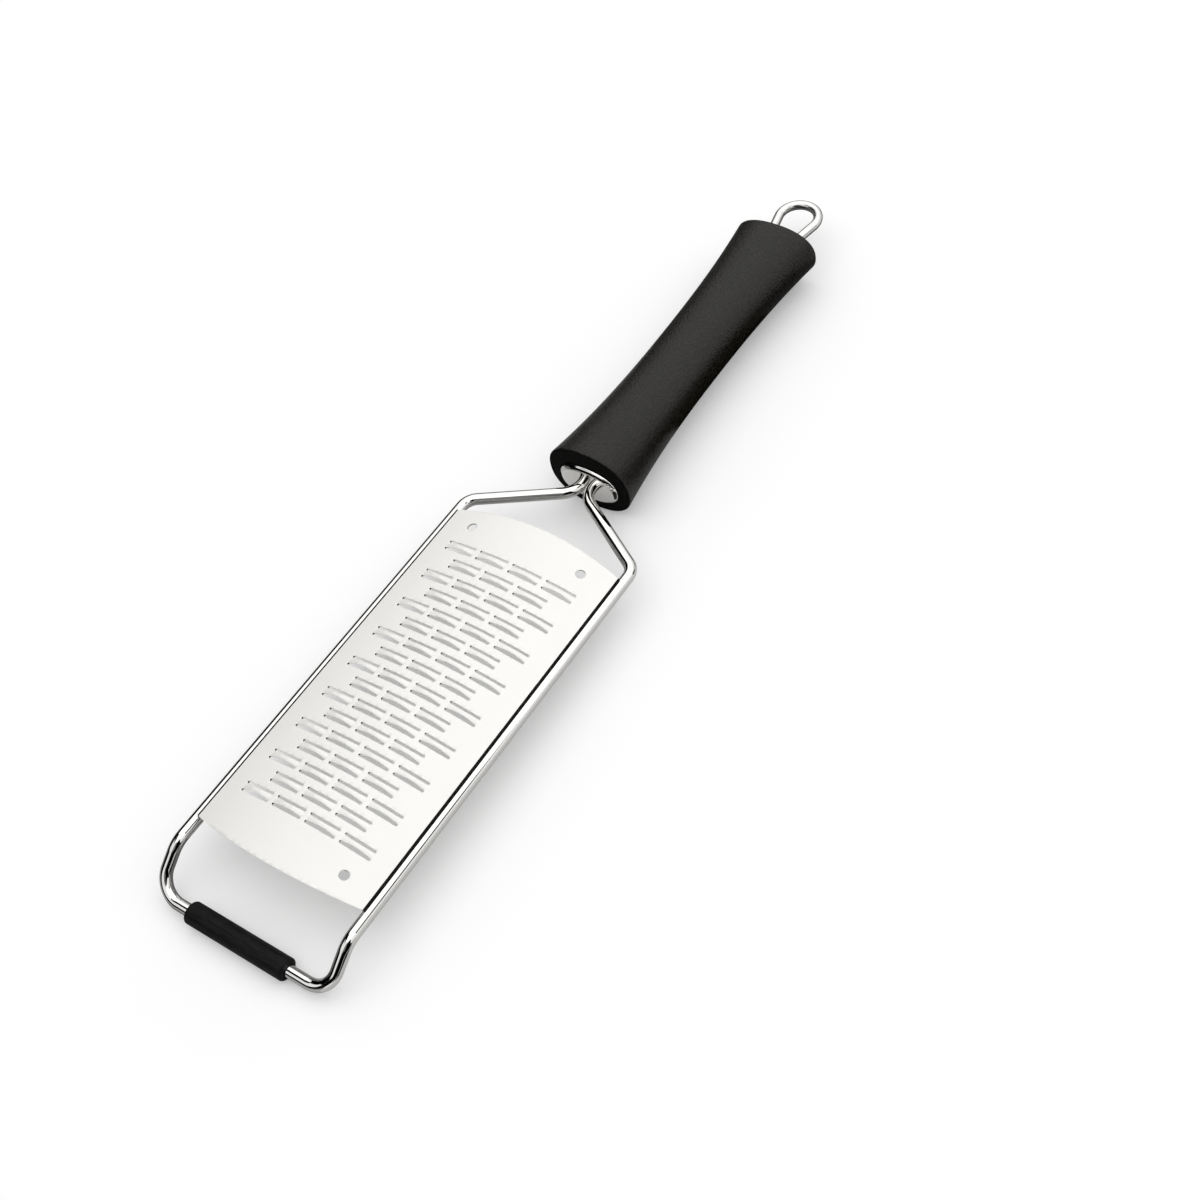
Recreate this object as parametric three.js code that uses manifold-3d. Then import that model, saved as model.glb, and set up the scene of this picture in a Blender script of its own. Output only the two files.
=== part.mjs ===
// A coarse hand grater: an arched sheet blade with raised ribbon teeth, on a bent rod frame with a handle.
// Millimetres, +Z up, teeth up, +Y towards the handle. The grater lies at rest on z = 0.
import * as THREE from "three";
import { mergeVertices } from "three/addons/utils/BufferGeometryUtils.js";
import Module from "manifold-3d";

const { degToRad } = THREE.MathUtils;

// Blade
const BLADE_WIDTH = 63.4; // chord between the long edges
const BLADE_LENGTH = 132; // along the long edges
const END_BULGE = 3.2; // how far each curved end stands past its corners
const ARCH_RISE = 4.4; // crown above the long edges
const SHEET = 0.6;
const ARCH_FACETS = 14;
const END_STEP = 4; // length of one facet of the curved ends

// Teeth, measured along the arch
const TOOTH_ROWS = 17;
const ROW_PITCH = 6.44;
const TEETH_IN_WIDE_ROW = 4;
const COLUMN_PITCH = 13;
const SLIT_LENGTH = 11.2;
const SLIT_WIDTH = 0.9;
const SLIT_CORNER = 0.42;
const RIBBON_WIDTH = 2;
const RIBBON_RAISE = 0.68;
const RAMP_LENGTH = 4.1;
const RAMP_STEPS = 2;
const RIBBON_ROOT = 0.5; // how far each end of a ribbon runs on inside the sheet

// Round holes near three of the blade's corners
const HOLE_DIAMETER = 3.2;
const HOLE_FROM_MIDDLE = 21.7; // along the arch
const HOLE_FROM_END = 5.3;
const HOLE_SIDES = 20;

// Frame rod
const ROD_DIAMETER = 4;
const EDGE_INSET = 1.45; // from the rod's axis in to the blade's edge
const SHOULDER_REACH = 6.5; // from the blade's rear corners to the shoulders
const BRANCH_ANGLE = degToRad(31); // of the branches, from straight across
const NECK_LENGTH = 5.7; // from the neck's bends to the grip
const ROD_HOLD = 30; // how deep the rod ends reach into the handle
const LEG_REACH = 9.4; // from the blade's front corners to the legs
const LEG_ANGLE = degToRad(42); // of the legs, below the frame
const LEG_DROP = 11.4;
const SHOULDER_BEND = 6;
const NECK_BEND = 8;
const LEG_BEND = 8;
const FOOT_BEND = 8;
const ROD_SIDES = 12;

// Foot sleeve
const SLEEVE_LENGTH = 38;
const SLEEVE_DIAMETER = 7.3;
const SLEEVE_SHIFT = -2; // along the foot bar
const SLEEVE_EDGE = 0.6;
const SLEEVE_SIDES = 24;

// Grip, with [width, height] for each oval section
const GRIP_LENGTH = 124.2;
const GRIP_LIFT = 1.1; // of its axis above the rods, at the front
const GRIP_RISE = degToRad(0.72); // of its axis, towards the rear
const GRIP_FRONT = [32, 26.2];
const GRIP_WAIST = [25.2, 18.3];
const GRIP_REAR = [32.4, 20.3];
const GRIP_FLARE = 2.35; // power of the curve from the waist to both ends
const GRIP_WALL = 3.9;
const GRIP_FRONT_EDGE = 0.8;
const GRIP_REAR_EDGE = 1.1;
const GRIP_STATIONS = 14;

// Front cap
const CAP_SIZE = [22.9, 14.8];
const CAP_DEPTH = 4;
const CAP_PROUD = 1.3;
const CAP_DROP = 1.2; // of its axis below the grip's
const CAP_EDGE = 0.7;

// Hanging loop
const WIRE_DIAMETER = 3.4;
const LOOP_RADIUS = 7.25; // of the wire's axis
const LOOP_REACH = 14.75; // from the grip's rear face to the loop's centre
const LOOP_LEG_SPACING = 9.4;
const LOOP_LEG_LENGTH = 1.5; // straight stretch outside the grip
const LOOP_LEG_BEND = 4;
const LOOP_HOLD = 14; // how deep the legs reach into the handle
const WIRE_SIDES = 12;

// Shared by several pieces
const GAP = 0.3; // between pieces that touch
const OVAL_POWER = 2.3; // of the superellipse that the handle's sections follow
const OVAL_SIDES = 28;
const EDGE_STEPS = 4; // along a rounded edge
const BEND_STEP = degToRad(12); // turn between two sections of a bent rod
const CUT_REACH = 4; // length of a cutting blank, in times what it has to pass

// What follows from the sizes above
const half = (size) => size / 2;
const archRadius = (half(BLADE_WIDTH) ** 2 + ARCH_RISE ** 2) / (2 * ARCH_RISE);
const archAngle = Math.asin(half(BLADE_WIDTH) / archRadius);
const frameHalf = half(BLADE_WIDTH) + EDGE_INSET;
const neckHalf = half(ROD_DIAMETER + GAP);
const shoulderY = half(BLADE_LENGTH) + SHOULDER_REACH;
const neckY = shoulderY + (frameHalf - neckHalf) * Math.tan(BRANCH_ANGLE);
const gripY = neckY + NECK_LENGTH;
const legY = -half(BLADE_LENGTH) - LEG_REACH;
const footY = legY - LEG_DROP / Math.tan(LEG_ANGLE);

// The blade's lower edges lie on the upper inner flanks of the rods, whose axes are at z = 0.
const lowerRadius = archRadius - SHEET;
const seatAcross = frameHalf - lowerRadius * Math.sin(archAngle);
const seatUp = Math.sqrt((half(ROD_DIAMETER) + GAP) ** 2 - seatAcross ** 2);
const archCentreZ = seatUp - lowerRadius * Math.cos(archAngle);

// Solids
const wasm = await Module();
wasm.setup();

function solidOf(geometry) {
  const bare = new THREE.BufferGeometry();
  bare.setAttribute("position", geometry.getAttribute("position"));
  bare.setIndex(geometry.getIndex());
  const merged = mergeVertices(bare);
  return new wasm.Manifold(
    new wasm.Mesh({
      numProp: 3,
      vertProperties: merged.getAttribute("position").array,
      triVerts: new Uint32Array(merged.getIndex().array),
    }),
  );
}

function geometryOf(solid) {
  const mesh = solid.getMesh();
  const geometry = new THREE.BufferGeometry();
  geometry.setAttribute("position", new THREE.BufferAttribute(mesh.vertProperties, 3));
  geometry.setIndex(new THREE.BufferAttribute(mesh.triVerts, 1));
  geometry.computeVertexNormals();
  return geometry;
}

function piece(name, geometry, color, roughness, metalness) {
  const material = new THREE.MeshStandardMaterial({ color, roughness, metalness });
  const mesh = new THREE.Mesh(geometry, material);
  mesh.name = name;
  return mesh;
}

// The axis of a bent rod: straight runs between corners, each corner rounded to its own bend radius.
// The sections of a sweep fall on the ends of the runs and along the bends only.
class BentAxis extends THREE.Curve {
  constructor(corners) {
    super();
    this.stations = [];
    corners.forEach(({ point, bend }, i) => {
      const before = corners[i - 1]?.point;
      const after = corners[i + 1]?.point;
      if (!before) this.add(point, after.clone().sub(point).normalize());
      else if (!after) this.add(point, point.clone().sub(before).normalize());
      else this.addBend(before, point, after, bend);
    });
  }

  add(point, tangent) {
    const last = this.stations.at(-1);
    if (!last || last.point.distanceTo(point) > GAP / 100) this.stations.push({ point, tangent });
  }

  addBend(before, corner, after, radius) {
    const arriving = corner.clone().sub(before).normalize();
    const leaving = after.clone().sub(corner).normalize();
    const turn = arriving.angleTo(leaving);
    const inward = leaving.clone().addScaledVector(arriving, -Math.cos(turn)).normalize();
    const start = corner.clone().addScaledVector(arriving, -radius * Math.tan(half(turn)));
    const steps = Math.ceil(turn / BEND_STEP);
    for (let i = 0; i <= steps; i++) {
      const angle = (turn * i) / steps;
      const point = start.clone();
      point.addScaledVector(arriving, radius * Math.sin(angle));
      point.addScaledVector(inward, radius * (1 - Math.cos(angle)));
      const tangent = arriving.clone().multiplyScalar(Math.cos(angle));
      this.add(point, tangent.addScaledVector(inward, Math.sin(angle)));
    }
  }

  get steps() {
    return this.stations.length - 1;
  }

  getUtoTmapping(u) {
    return u;
  }

  getPoint(t, target = new THREE.Vector3()) {
    return target.copy(this.stations[Math.round(t * this.steps)].point);
  }

  getTangent(t, target = new THREE.Vector3()) {
    return target.copy(this.stations[Math.round(t * this.steps)].tangent);
  }
}

function sweep(corners, diameter, sides) {
  const axis = new BentAxis(corners);
  const section = new THREE.Shape();
  section.absarc(0, 0, half(diameter), 0, 2 * Math.PI);
  return new THREE.ExtrudeGeometry(section, {
    steps: axis.steps,
    extrudePath: axis,
    curveSegments: half(sides),
  });
}

const corner = (x, y, z, bend) => ({ point: new THREE.Vector3(x, y, z), bend });
const mirrored = (corners) =>
  corners.map(({ point, bend }) => corner(-point.x, point.y, point.z, bend)).reverse();

// A closed skin through oval rings along +Y, each { y, halves: [across, up] }.
function loft(rings) {
  const positions = [];
  const indices = [];
  const curved = (value) => Math.sign(value) * Math.abs(value) ** (2 / OVAL_POWER);
  for (const { y, halves } of rings) {
    for (let i = 0; i < OVAL_SIDES; i++) {
      const angle = (2 * Math.PI * i) / OVAL_SIDES;
      positions.push(halves[0] * curved(Math.cos(angle)), y, halves[1] * curved(Math.sin(angle)));
    }
  }
  const [first, last] = [rings[0], rings.at(-1)].map(({ y }) => positions.push(0, y, 0) / 3 - 1);
  const lastRing = (rings.length - 1) * OVAL_SIDES;
  for (let i = 0; i < OVAL_SIDES; i++) {
    const next = (i + 1) % OVAL_SIDES;
    for (let ring = 0; ring < lastRing; ring += OVAL_SIDES) {
      const [a, b] = [ring + i, ring + next];
      const [c, d] = [a + OVAL_SIDES, b + OVAL_SIDES];
      indices.push(a, c, b, b, c, d);
    }
    indices.push(first, i, next, last, lastRing + next, lastRing + i);
  }
  const geometry = new THREE.BufferGeometry();
  geometry.setAttribute("position", new THREE.Float32BufferAttribute(positions, 3));
  geometry.setIndex(indices);
  return geometry;
}

// Half sizes of a waisted oval body, as a function of the distance behind the grip's front face.
function waisted(front, waist, rear) {
  return (y) => {
    const fromWaist = (2 * Math.max(y, 0)) / GRIP_LENGTH - 1;
    const end = fromWaist < 0 ? front : rear;
    const share = Math.abs(fromWaist) ** GRIP_FLARE;
    return waist.map((size, i) => half(size + (end[i] - size) * share));
  };
}

// Rings of a rounded edge, from the flat end face at faceY to where the side begins.
function edgeRings(faceY, radius, way, halvesAt) {
  return Array.from({ length: EDGE_STEPS + 1 }, (_, i) => {
    const angle = (half(Math.PI) * i) / EDGE_STEPS;
    const y = faceY + way * radius * (1 - Math.cos(angle));
    const inset = radius * (1 - Math.sin(angle));
    return { y, halves: halvesAt(y).map((size) => size - inset) };
  });
}

function sideRings(fromY, toY, count, halvesAt) {
  return Array.from({ length: count + 1 }, (_, i) => {
    const y = fromY + ((toY - fromY) * i) / count;
    return { y, halves: halvesAt(y) };
  });
}

// Blade: an arched sheet between two end arcs. Each tooth is a window with a ribbon raised across it.
function archedSheet() {
  const section = new THREE.Shape();
  const up = half(Math.PI);
  section.absarc(0, 0, archRadius, up + archAngle, up - archAngle, true);
  section.absarc(0, 0, lowerRadius, up - archAngle, up + archAngle, false);
  const length = BLADE_LENGTH + CUT_REACH * END_BULGE;
  const sheet = new THREE.ExtrudeGeometry(section, { depth: length, curveSegments: half(ARCH_FACETS) });
  return solidOf(sheet.rotateX(half(Math.PI)).translate(0, half(length), 0));
}

function endDisc(way) {
  const radius = (half(BLADE_WIDTH) ** 2 + END_BULGE ** 2) / (2 * END_BULGE);
  const sides = Math.ceil((2 * Math.PI * radius) / END_STEP);
  const disc = new THREE.CylinderGeometry(radius, radius, CUT_REACH * archRadius, sides);
  const centreY = way * (half(BLADE_LENGTH) + END_BULGE - radius);
  return solidOf(disc.rotateX(half(Math.PI)).translate(0, centreY, 0));
}

function windowBlank() {
  const [long, wide] = [half(SLIT_LENGTH), SLIT_WIDTH + half(RIBBON_WIDTH)];
  const outline = new THREE.Shape();
  outline.moveTo(-long + SLIT_CORNER, -wide);
  outline.lineTo(long - SLIT_CORNER, -wide);
  outline.lineTo(long, -wide + SLIT_CORNER);
  outline.lineTo(long, wide - SLIT_CORNER);
  outline.lineTo(long - SLIT_CORNER, wide);
  outline.lineTo(-long + SLIT_CORNER, wide);
  outline.lineTo(-long, wide - SLIT_CORNER);
  outline.lineTo(-long, -wide + SLIT_CORNER);
  const depth = CUT_REACH * SHEET;
  const prism = new THREE.ExtrudeGeometry(outline, { depth, bevelEnabled: false });
  return prism.translate(0, 0, archRadius - half(SHEET) - half(depth));
}

// A ribbon's side view: out of the sheet, up a ramp, level, and down again, at one thickness.
function ribbonBlank(along) {
  const point = (distance, height) => {
    const angle = (along + distance) / archRadius;
    const radius = archRadius + height;
    return new THREE.Vector2(radius * Math.sin(angle), radius * Math.cos(angle));
  };
  const rise = Array.from({ length: RAMP_STEPS + 1 }, (_, i) => {
    const share = i / RAMP_STEPS;
    return {
      distance: -half(SLIT_LENGTH) + RAMP_LENGTH * share,
      height: RIBBON_RAISE * Math.sin(half(Math.PI) * share),
    };
  });
  const fall = rise.map(({ distance, height }) => ({ distance: -distance, height })).reverse();
  const stations = [...rise, ...fall];
  const root = half(SLIT_LENGTH) + RIBBON_ROOT;
  const outline = [
    point(-root, -half(SHEET)),
    ...stations.map(({ distance, height }) => point(distance, height)),
    point(root, -half(SHEET)),
    ...stations.reverse().map(({ distance, height }) => point(distance, height - SHEET)),
  ];
  const ribbon = new THREE.ExtrudeGeometry(new THREE.Shape(outline), {
    depth: RIBBON_WIDTH,
    bevelEnabled: false,
  });
  return ribbon.rotateX(half(Math.PI)).translate(0, half(RIBBON_WIDTH), 0);
}

function bladeSolid() {
  const windows = [];
  const ribbons = [];
  for (let row = 0; row < TOOTH_ROWS; row++) {
    const y = (row - half(TOOTH_ROWS - 1)) * ROW_PITCH;
    const teeth = TEETH_IN_WIDE_ROW - (row % 2);
    for (let tooth = 0; tooth < teeth; tooth++) {
      const along = (tooth - half(teeth - 1)) * COLUMN_PITCH;
      windows.push(solidOf(windowBlank().rotateY(along / archRadius).translate(0, y, 0)));
      ribbons.push(solidOf(ribbonBlank(along).translate(0, y, 0)));
    }
  }
  const holeY = half(BLADE_LENGTH) - HOLE_FROM_END;
  const holeRadius = half(HOLE_DIAMETER);
  for (const [side, end] of [[-1, 1], [1, 1], [1, -1]]) {
    const drill = new THREE.CylinderGeometry(holeRadius, holeRadius, CUT_REACH * SHEET, HOLE_SIDES);
    drill.rotateX(half(Math.PI)).translate(0, 0, archRadius - half(SHEET));
    drill.rotateY((side * HOLE_FROM_MIDDLE) / archRadius).translate(0, end * holeY, 0);
    windows.push(solidOf(drill));
  }
  const sheet = archedSheet().intersect(endDisc(1)).intersect(endDisc(-1));
  const pierced = sheet.subtract(wasm.Manifold.union(windows));
  return wasm.Manifold.union([pierced, ...ribbons]).translate([0, 0, archCentreZ]);
}

// Frame rod: one rod from handle to foot bar and back, the same on both sides.
const frameSide = [
  corner(neckHalf, gripY + ROD_HOLD, 0),
  corner(neckHalf, neckY, 0, NECK_BEND),
  corner(frameHalf, shoulderY, 0, SHOULDER_BEND),
  corner(frameHalf, legY, 0, LEG_BEND),
  corner(frameHalf, footY, -LEG_DROP, FOOT_BEND),
];

// Room for the two rod ends, one cutter a side, from the shoulders to just past the ends.
function rodRoom() {
  const [end, neck, shoulder] = frameSide;
  const side = [corner(end.point.x, end.point.y + GAP, 0), neck, corner(...shoulder.point)];
  return [side, mirrored(side)].map((corners) => sweep(corners, ROD_DIAMETER + 2 * GAP, ROD_SIDES));
}

// Foot sleeve: a tube with softened ends, one facet of which is turned flat to the table.
function sleeveGeometry() {
  const [inner, outer, long] = [half(ROD_DIAMETER) + GAP, half(SLEEVE_DIAMETER), half(SLEEVE_LENGTH)];
  const profile = [
    new THREE.Vector2(inner, -long),
    new THREE.Vector2(outer - SLEEVE_EDGE, -long),
    new THREE.Vector2(outer, -long + SLEEVE_EDGE),
    new THREE.Vector2(outer, long - SLEEVE_EDGE),
    new THREE.Vector2(outer - SLEEVE_EDGE, long),
    new THREE.Vector2(inner, long),
    new THREE.Vector2(inner, -long),
  ];
  return new THREE.LatheGeometry(profile, SLEEVE_SIDES, Math.PI / SLEEVE_SIDES).rotateZ(-half(Math.PI));
}

// Handle: grip and loop share one axis, with y counted from the grip's front face. Cap and core lie a little below it.
const gripAt = waisted(GRIP_FRONT, GRIP_WAIST, GRIP_REAR);
const inside = (section) => section.map((size) => size - 2 * GRIP_WALL);
const coreAt = waisted(CAP_SIZE, inside(GRIP_WAIST), inside(GRIP_REAR));
const cavityAt = (y) => coreAt(y).map((size) => size + GAP);
const coreEnd = GRIP_LENGTH - GRIP_WALL;
const gripRings = [
  ...edgeRings(0, GRIP_FRONT_EDGE, 1, gripAt),
  ...sideRings(GRIP_FRONT_EDGE, GRIP_LENGTH - GRIP_REAR_EDGE, GRIP_STATIONS, gripAt).slice(1, -1),
  ...edgeRings(GRIP_LENGTH, GRIP_REAR_EDGE, -1, gripAt).reverse(),
];

function loopSide() {
  const legHalf = half(LOOP_LEG_SPACING);
  const legEnd = GRIP_LENGTH + LOOP_LEG_LENGTH;
  const toCentre = new THREE.Vector2(legHalf, LOOP_REACH - LOOP_LEG_LENGTH);
  const lean = Math.asin(LOOP_RADIUS / toCentre.length()) - Math.atan2(toCentre.x, toCentre.y);
  const top = GRIP_LENGTH + LOOP_REACH + LOOP_RADIUS;
  return [
    corner(legHalf, GRIP_LENGTH - LOOP_HOLD, 0),
    corner(legHalf, legEnd, 0, LOOP_LEG_BEND),
    corner(legHalf + Math.tan(lean) * (top - legEnd), top, 0, LOOP_RADIUS),
  ];
}

function legRoom() {
  const [end, bend] = loopSide();
  const side = [corner(end.point.x, end.point.y - GAP, 0), corner(...bend.point)];
  return [side, mirrored(side)].map((corners) => sweep(corners, WIRE_DIAMETER + 2 * GAP, WIRE_SIDES));
}

const handle = new THREE.Group();
handle.position.set(0, gripY, GRIP_LIFT);
handle.rotation.x = GRIP_RISE;
handle.updateMatrix();

const intoHandle = handle.matrix.clone().invert();
const roomForRods = wasm.Manifold.union(rodRoom().map((room) => solidOf(room.applyMatrix4(intoHandle))));
const roomForLegs = wasm.Manifold.union(legRoom().map(solidOf));

function gripSolid() {
  const cavity = loft(sideRings(-CAP_PROUD, coreEnd + GAP, GRIP_STATIONS, cavityAt)).translate(0, 0, -CAP_DROP);
  return solidOf(loft(gripRings)).subtract(solidOf(cavity)).subtract(roomForLegs);
}

function coreSolid() {
  const body = loft(sideRings(CAP_DEPTH + GAP, coreEnd, GRIP_STATIONS, coreAt)).translate(0, 0, -CAP_DROP);
  return solidOf(body).subtract(roomForRods).subtract(roomForLegs);
}

function capSolid() {
  const rings = [...edgeRings(-CAP_PROUD, CAP_EDGE, 1, coreAt), ...sideRings(0, CAP_DEPTH, 1, coreAt)];
  return solidOf(loft(rings).translate(0, 0, -CAP_DROP)).subtract(roomForRods);
}

const loop = [...loopSide(), ...mirrored(loopSide())];
handle.add(
  piece("handle_grip", geometryOf(gripSolid()), 0x2c2b2a, 0.7, 0),
  piece("handle_core", geometryOf(coreSolid()), 0x3a3a3a, 0.6, 0),
  piece("front_cap", geometryOf(capSolid()), 0xd4d4d2, 0.15, 1),
  piece("hanging_loop", sweep(loop, WIRE_DIAMETER, WIRE_SIDES), 0xdedddb, 0.12, 1),
);

// At rest the line under the foot sleeve and the grip's lowest ring is level.
const sleeveDrop = half(SLEEVE_DIAMETER) * Math.cos(Math.PI / SLEEVE_SIDES);
const foot = new THREE.Vector3(0, footY, -LEG_DROP);
const restTilt = Math.min(
  ...gripRings.map(({ y, halves }) => {
    const under = new THREE.Vector3(0, y, -halves[1]).applyMatrix4(handle.matrix).sub(foot);
    return Math.atan2(under.z, under.y) + Math.asin(sleeveDrop / under.length());
  }),
);

const sleeve = piece("foot_sleeve", sleeveGeometry(), 0x171717, 0.85, 0);
sleeve.position.set(SLEEVE_SHIFT, foot.y, foot.z);
sleeve.rotation.x = restTilt;

const frame = sweep([...frameSide, ...mirrored(frameSide)], ROD_DIAMETER, ROD_SIDES);
const grater = new THREE.Group();
grater.add(
  piece("blade", geometryOf(bladeSolid()), 0xe6e5e2, 0.4, 1),
  piece("frame_rod", frame, 0xd8d8d6, 0.12, 1),
  sleeve,
  handle,
);
grater.rotation.x = -restTilt;

const bounds = new THREE.Box3().setFromObject(grater, true);
const middle = bounds.getCenter(new THREE.Vector3());
grater.position.set(-middle.x, -middle.y, -bounds.min.z);

const part = new THREE.Group();
part.add(grater);
export default part;
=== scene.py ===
# A coarse hand grater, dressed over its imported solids. Metres in the frame, teeth up, handle towards +Y.
import math

import bpy
import numpy as np
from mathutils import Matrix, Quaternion, Vector


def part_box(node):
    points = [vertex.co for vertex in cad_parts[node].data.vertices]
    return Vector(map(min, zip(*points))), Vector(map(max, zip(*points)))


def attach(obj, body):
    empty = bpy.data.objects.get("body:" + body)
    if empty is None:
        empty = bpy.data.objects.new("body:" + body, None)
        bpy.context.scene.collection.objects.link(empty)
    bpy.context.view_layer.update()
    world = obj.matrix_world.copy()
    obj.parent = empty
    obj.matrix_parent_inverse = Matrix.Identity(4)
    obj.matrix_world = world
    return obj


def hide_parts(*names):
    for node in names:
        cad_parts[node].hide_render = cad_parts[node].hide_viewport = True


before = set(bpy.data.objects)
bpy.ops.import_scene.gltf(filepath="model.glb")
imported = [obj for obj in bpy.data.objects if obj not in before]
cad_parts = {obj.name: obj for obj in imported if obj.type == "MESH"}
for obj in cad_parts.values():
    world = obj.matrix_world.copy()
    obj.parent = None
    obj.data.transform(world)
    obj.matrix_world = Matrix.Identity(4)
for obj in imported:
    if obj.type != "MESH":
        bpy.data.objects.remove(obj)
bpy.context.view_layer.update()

# Viewpoint: a little over half a metre off, above the foot's right-hand side, with the camera rolled so that
# the grater lies across the picture from the lower left to the upper right.
CAMERA_AT = Vector((0.27240, -0.25667, 0.44935))
CAMERA_LOOKS_AT = Vector((0.03045, -0.01896, 0.0130))
CAMERA_ROLL = math.radians(-15.09)
CAMERA_LENS = 52.96
CAMERA_SENSOR = 36.0

camera = bpy.data.objects.new("camera", bpy.data.cameras.new("camera"))
camera.data.lens = CAMERA_LENS
camera.data.sensor_width = CAMERA_SENSOR
camera.data.clip_start = 0.01
camera.location = CAMERA_AT
camera.rotation_mode = "QUATERNION"
aim = (CAMERA_LOOKS_AT - CAMERA_AT).to_track_quat("-Z", "Y")
camera.rotation_quaternion = aim @ Quaternion((0, 0, 1), CAMERA_ROLL)
bpy.context.scene.collection.objects.link(camera)
bpy.context.scene.camera = camera

# Frame rod: one length of round stainless rod, cold bent from the handle round the foot bar and back, then
# polished. Its long sides carry the blade, its front is stepped down to the foot bar, and both of its ends
# run into the handle.
MM = 0.001
ROD_RADIUS = 2.0
FRAME_HALF = 33.15  # from the grater's middle to the rod's axis
NECK_HALF = 2.15
SHOULDER_Y = 72.5
BRANCH_ANGLE = math.radians(31)
NECK_Y = SHOULDER_Y + (FRAME_HALF - NECK_HALF) * math.tan(BRANCH_ANGLE)
NECK_LENGTH = 5.7
GRIP_Y = NECK_Y + NECK_LENGTH  # the grip's front face
ROD_HOLD = 30.0
LEG_Y = -75.4
LEG_DROP = 11.4
LEG_ANGLE = math.radians(42)
FOOT_Y = LEG_Y - LEG_DROP / math.tan(LEG_ANGLE)
FOOT_SHIFTS = (-0.95, -1.5)  # of the right and left corner: the hand-bent foot bar sits a little to one side
NECK_BEND, SHOULDER_BEND, LEG_BEND, FOOT_BEND = 8.0, 6.0, 8.0, 8.0
ROD_SIDES = 40
BEND_STEP = math.radians(3)
SAME_STATION = 1e-6  # stations closer than this are one
REST_TILT = math.radians(0.9707)
ROD_STEEL = "#e0dfdc"


def laid(points):
    """Points of the assembly, in millimetres with the rod's long sides level, as metres in the frame: tipped
    forward about X by the rest tilt, then shifted so that the foot bar's axis lies in the middle of the
    sleeve."""
    low, high = (np.array(corner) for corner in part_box("foot_sleeve"))
    x, y, z = np.moveaxis(np.asarray(points, float) - (0, FOOT_Y, -LEG_DROP), -1, 0)
    cosine, sine = math.cos(REST_TILT), math.sin(REST_TILT)
    turned = np.stack([x, y * cosine + z * sine, z * cosine - y * sine], axis=-1)
    return turned * MM + (low + high) * (0, 0.5, 0.5)


def bent_path(corners, bends):
    """Stations along a bent rod's axis, and its direction at each: straight runs between the corners, and at
    each inner corner an arc of that bend's radius that leaves one run and meets the next without a kink.
    Where two arcs meet, their common station is kept once."""
    corners = [np.array(corner, float) for corner in corners]
    runs = [(b - a) / np.linalg.norm(b - a) for a, b in zip(corners, corners[1:])]
    stations, directions = [corners[0][None]], [runs[0][None]]
    for corner, radius, arriving, leaving in zip(corners[1:-1], bends, runs, runs[1:]):
        turn = math.acos(np.clip(arriving @ leaving, -1, 1))
        inward = (leaving - arriving * math.cos(turn)) / math.sin(turn)
        angle = np.linspace(0, turn, math.ceil(turn / BEND_STEP) + 1)[:, None]
        start = corner - arriving * radius * math.tan(turn / 2)
        stations.append(start + radius * (np.sin(angle) * arriving + (1 - np.cos(angle)) * inward))
        directions.append(np.cos(angle) * arriving + np.sin(angle) * inward)
    stations.append(corners[-1][None])
    directions.append(runs[-1][None])
    stations, directions = np.concatenate(stations), np.concatenate(directions)
    apart = np.append(True, np.linalg.norm(np.diff(stations, axis=0), axis=1) > SAME_STATION)
    return stations[apart], directions[apart]


def tube(path, radius, sides):
    """A round profile carried along a path: at each station the circle's two axes are the path's level normal
    and the direction square to both."""
    stations, directions = path
    level = np.cross(directions, (0, 0, 1))
    level /= np.linalg.norm(level, axis=1, keepdims=True)
    square = np.cross(level, directions)
    angle = np.linspace(0, 2 * np.pi, sides, endpoint=False)[None, :, None]
    return stations[:, None] + radius * (np.cos(angle) * level[:, None] + np.sin(angle) * square[:, None])


def skin(name, points, closed=(False, True), ends=True):
    """An object over a grid of points: quads between neighbouring rows and columns, joined round where closed
    says, with a fan to the middle of the first and the last row where they end in the open."""
    rows, columns = points.shape[:2]
    number = np.arange(rows * columns).reshape(rows, columns)
    around = np.concatenate([number, number[:1]]) if closed[0] else number
    around = np.concatenate([around, around[:, :1]], axis=1) if closed[1] else around
    quads = np.stack([around[:-1, :-1], around[1:, :-1], around[1:, 1:], around[:-1, 1:]], axis=-1)
    faces = quads.reshape(-1, 4).tolist()
    vertices = points.reshape(-1, 3)
    if ends:
        first, last = around[0], around[-1]
        middles = rows * columns + np.arange(2)
        vertices = np.concatenate([vertices, [points[0].mean(0), points[-1].mean(0)]])
        faces += np.stack([np.full(columns, middles[0]), first[:-1], first[1:]], axis=1).tolist()
        faces += np.stack([np.full(columns, middles[1]), last[1:], last[:-1]], axis=1).tolist()
    mesh = bpy.data.meshes.new(name)
    mesh.from_pydata(vertices.tolist(), [], faces)
    mesh.shade_smooth()
    made = bpy.data.objects.new(name, mesh)
    bpy.context.scene.collection.objects.link(made)
    return made


def linear(hex_colour):
    """An sRGB hex value as linear red, green, blue and alpha: a straight line near black, and above it a
    power of 2.4."""
    shares = np.array([int(hex_colour[i : i + 2], 16) for i in (1, 3, 5)]) / 255
    curved = ((shares + 0.055) / 1.055) ** 2.4
    return (*np.where(shares <= 0.04045, shares / 12.92, curved), 1.0)


def add(tree, kind, sockets, **settings):
    """Adds a node. Settings are its properties; sockets are its inputs, each a value or an output to link."""
    made = tree.nodes.new(kind)
    for name, value in settings.items():
        setattr(made, name, value)
    for name, value in sockets.items():
        if isinstance(value, bpy.types.NodeSocket):
            tree.links.new(value, made.inputs[name])
        else:
            made.inputs[name].default_value = value
    return made


def finish_named(name):
    """A new material with an empty node tree, and its tree."""
    material = bpy.data.materials.new(name)
    material.use_nodes = True
    material.node_tree.nodes.clear()
    return material, material.node_tree


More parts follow.
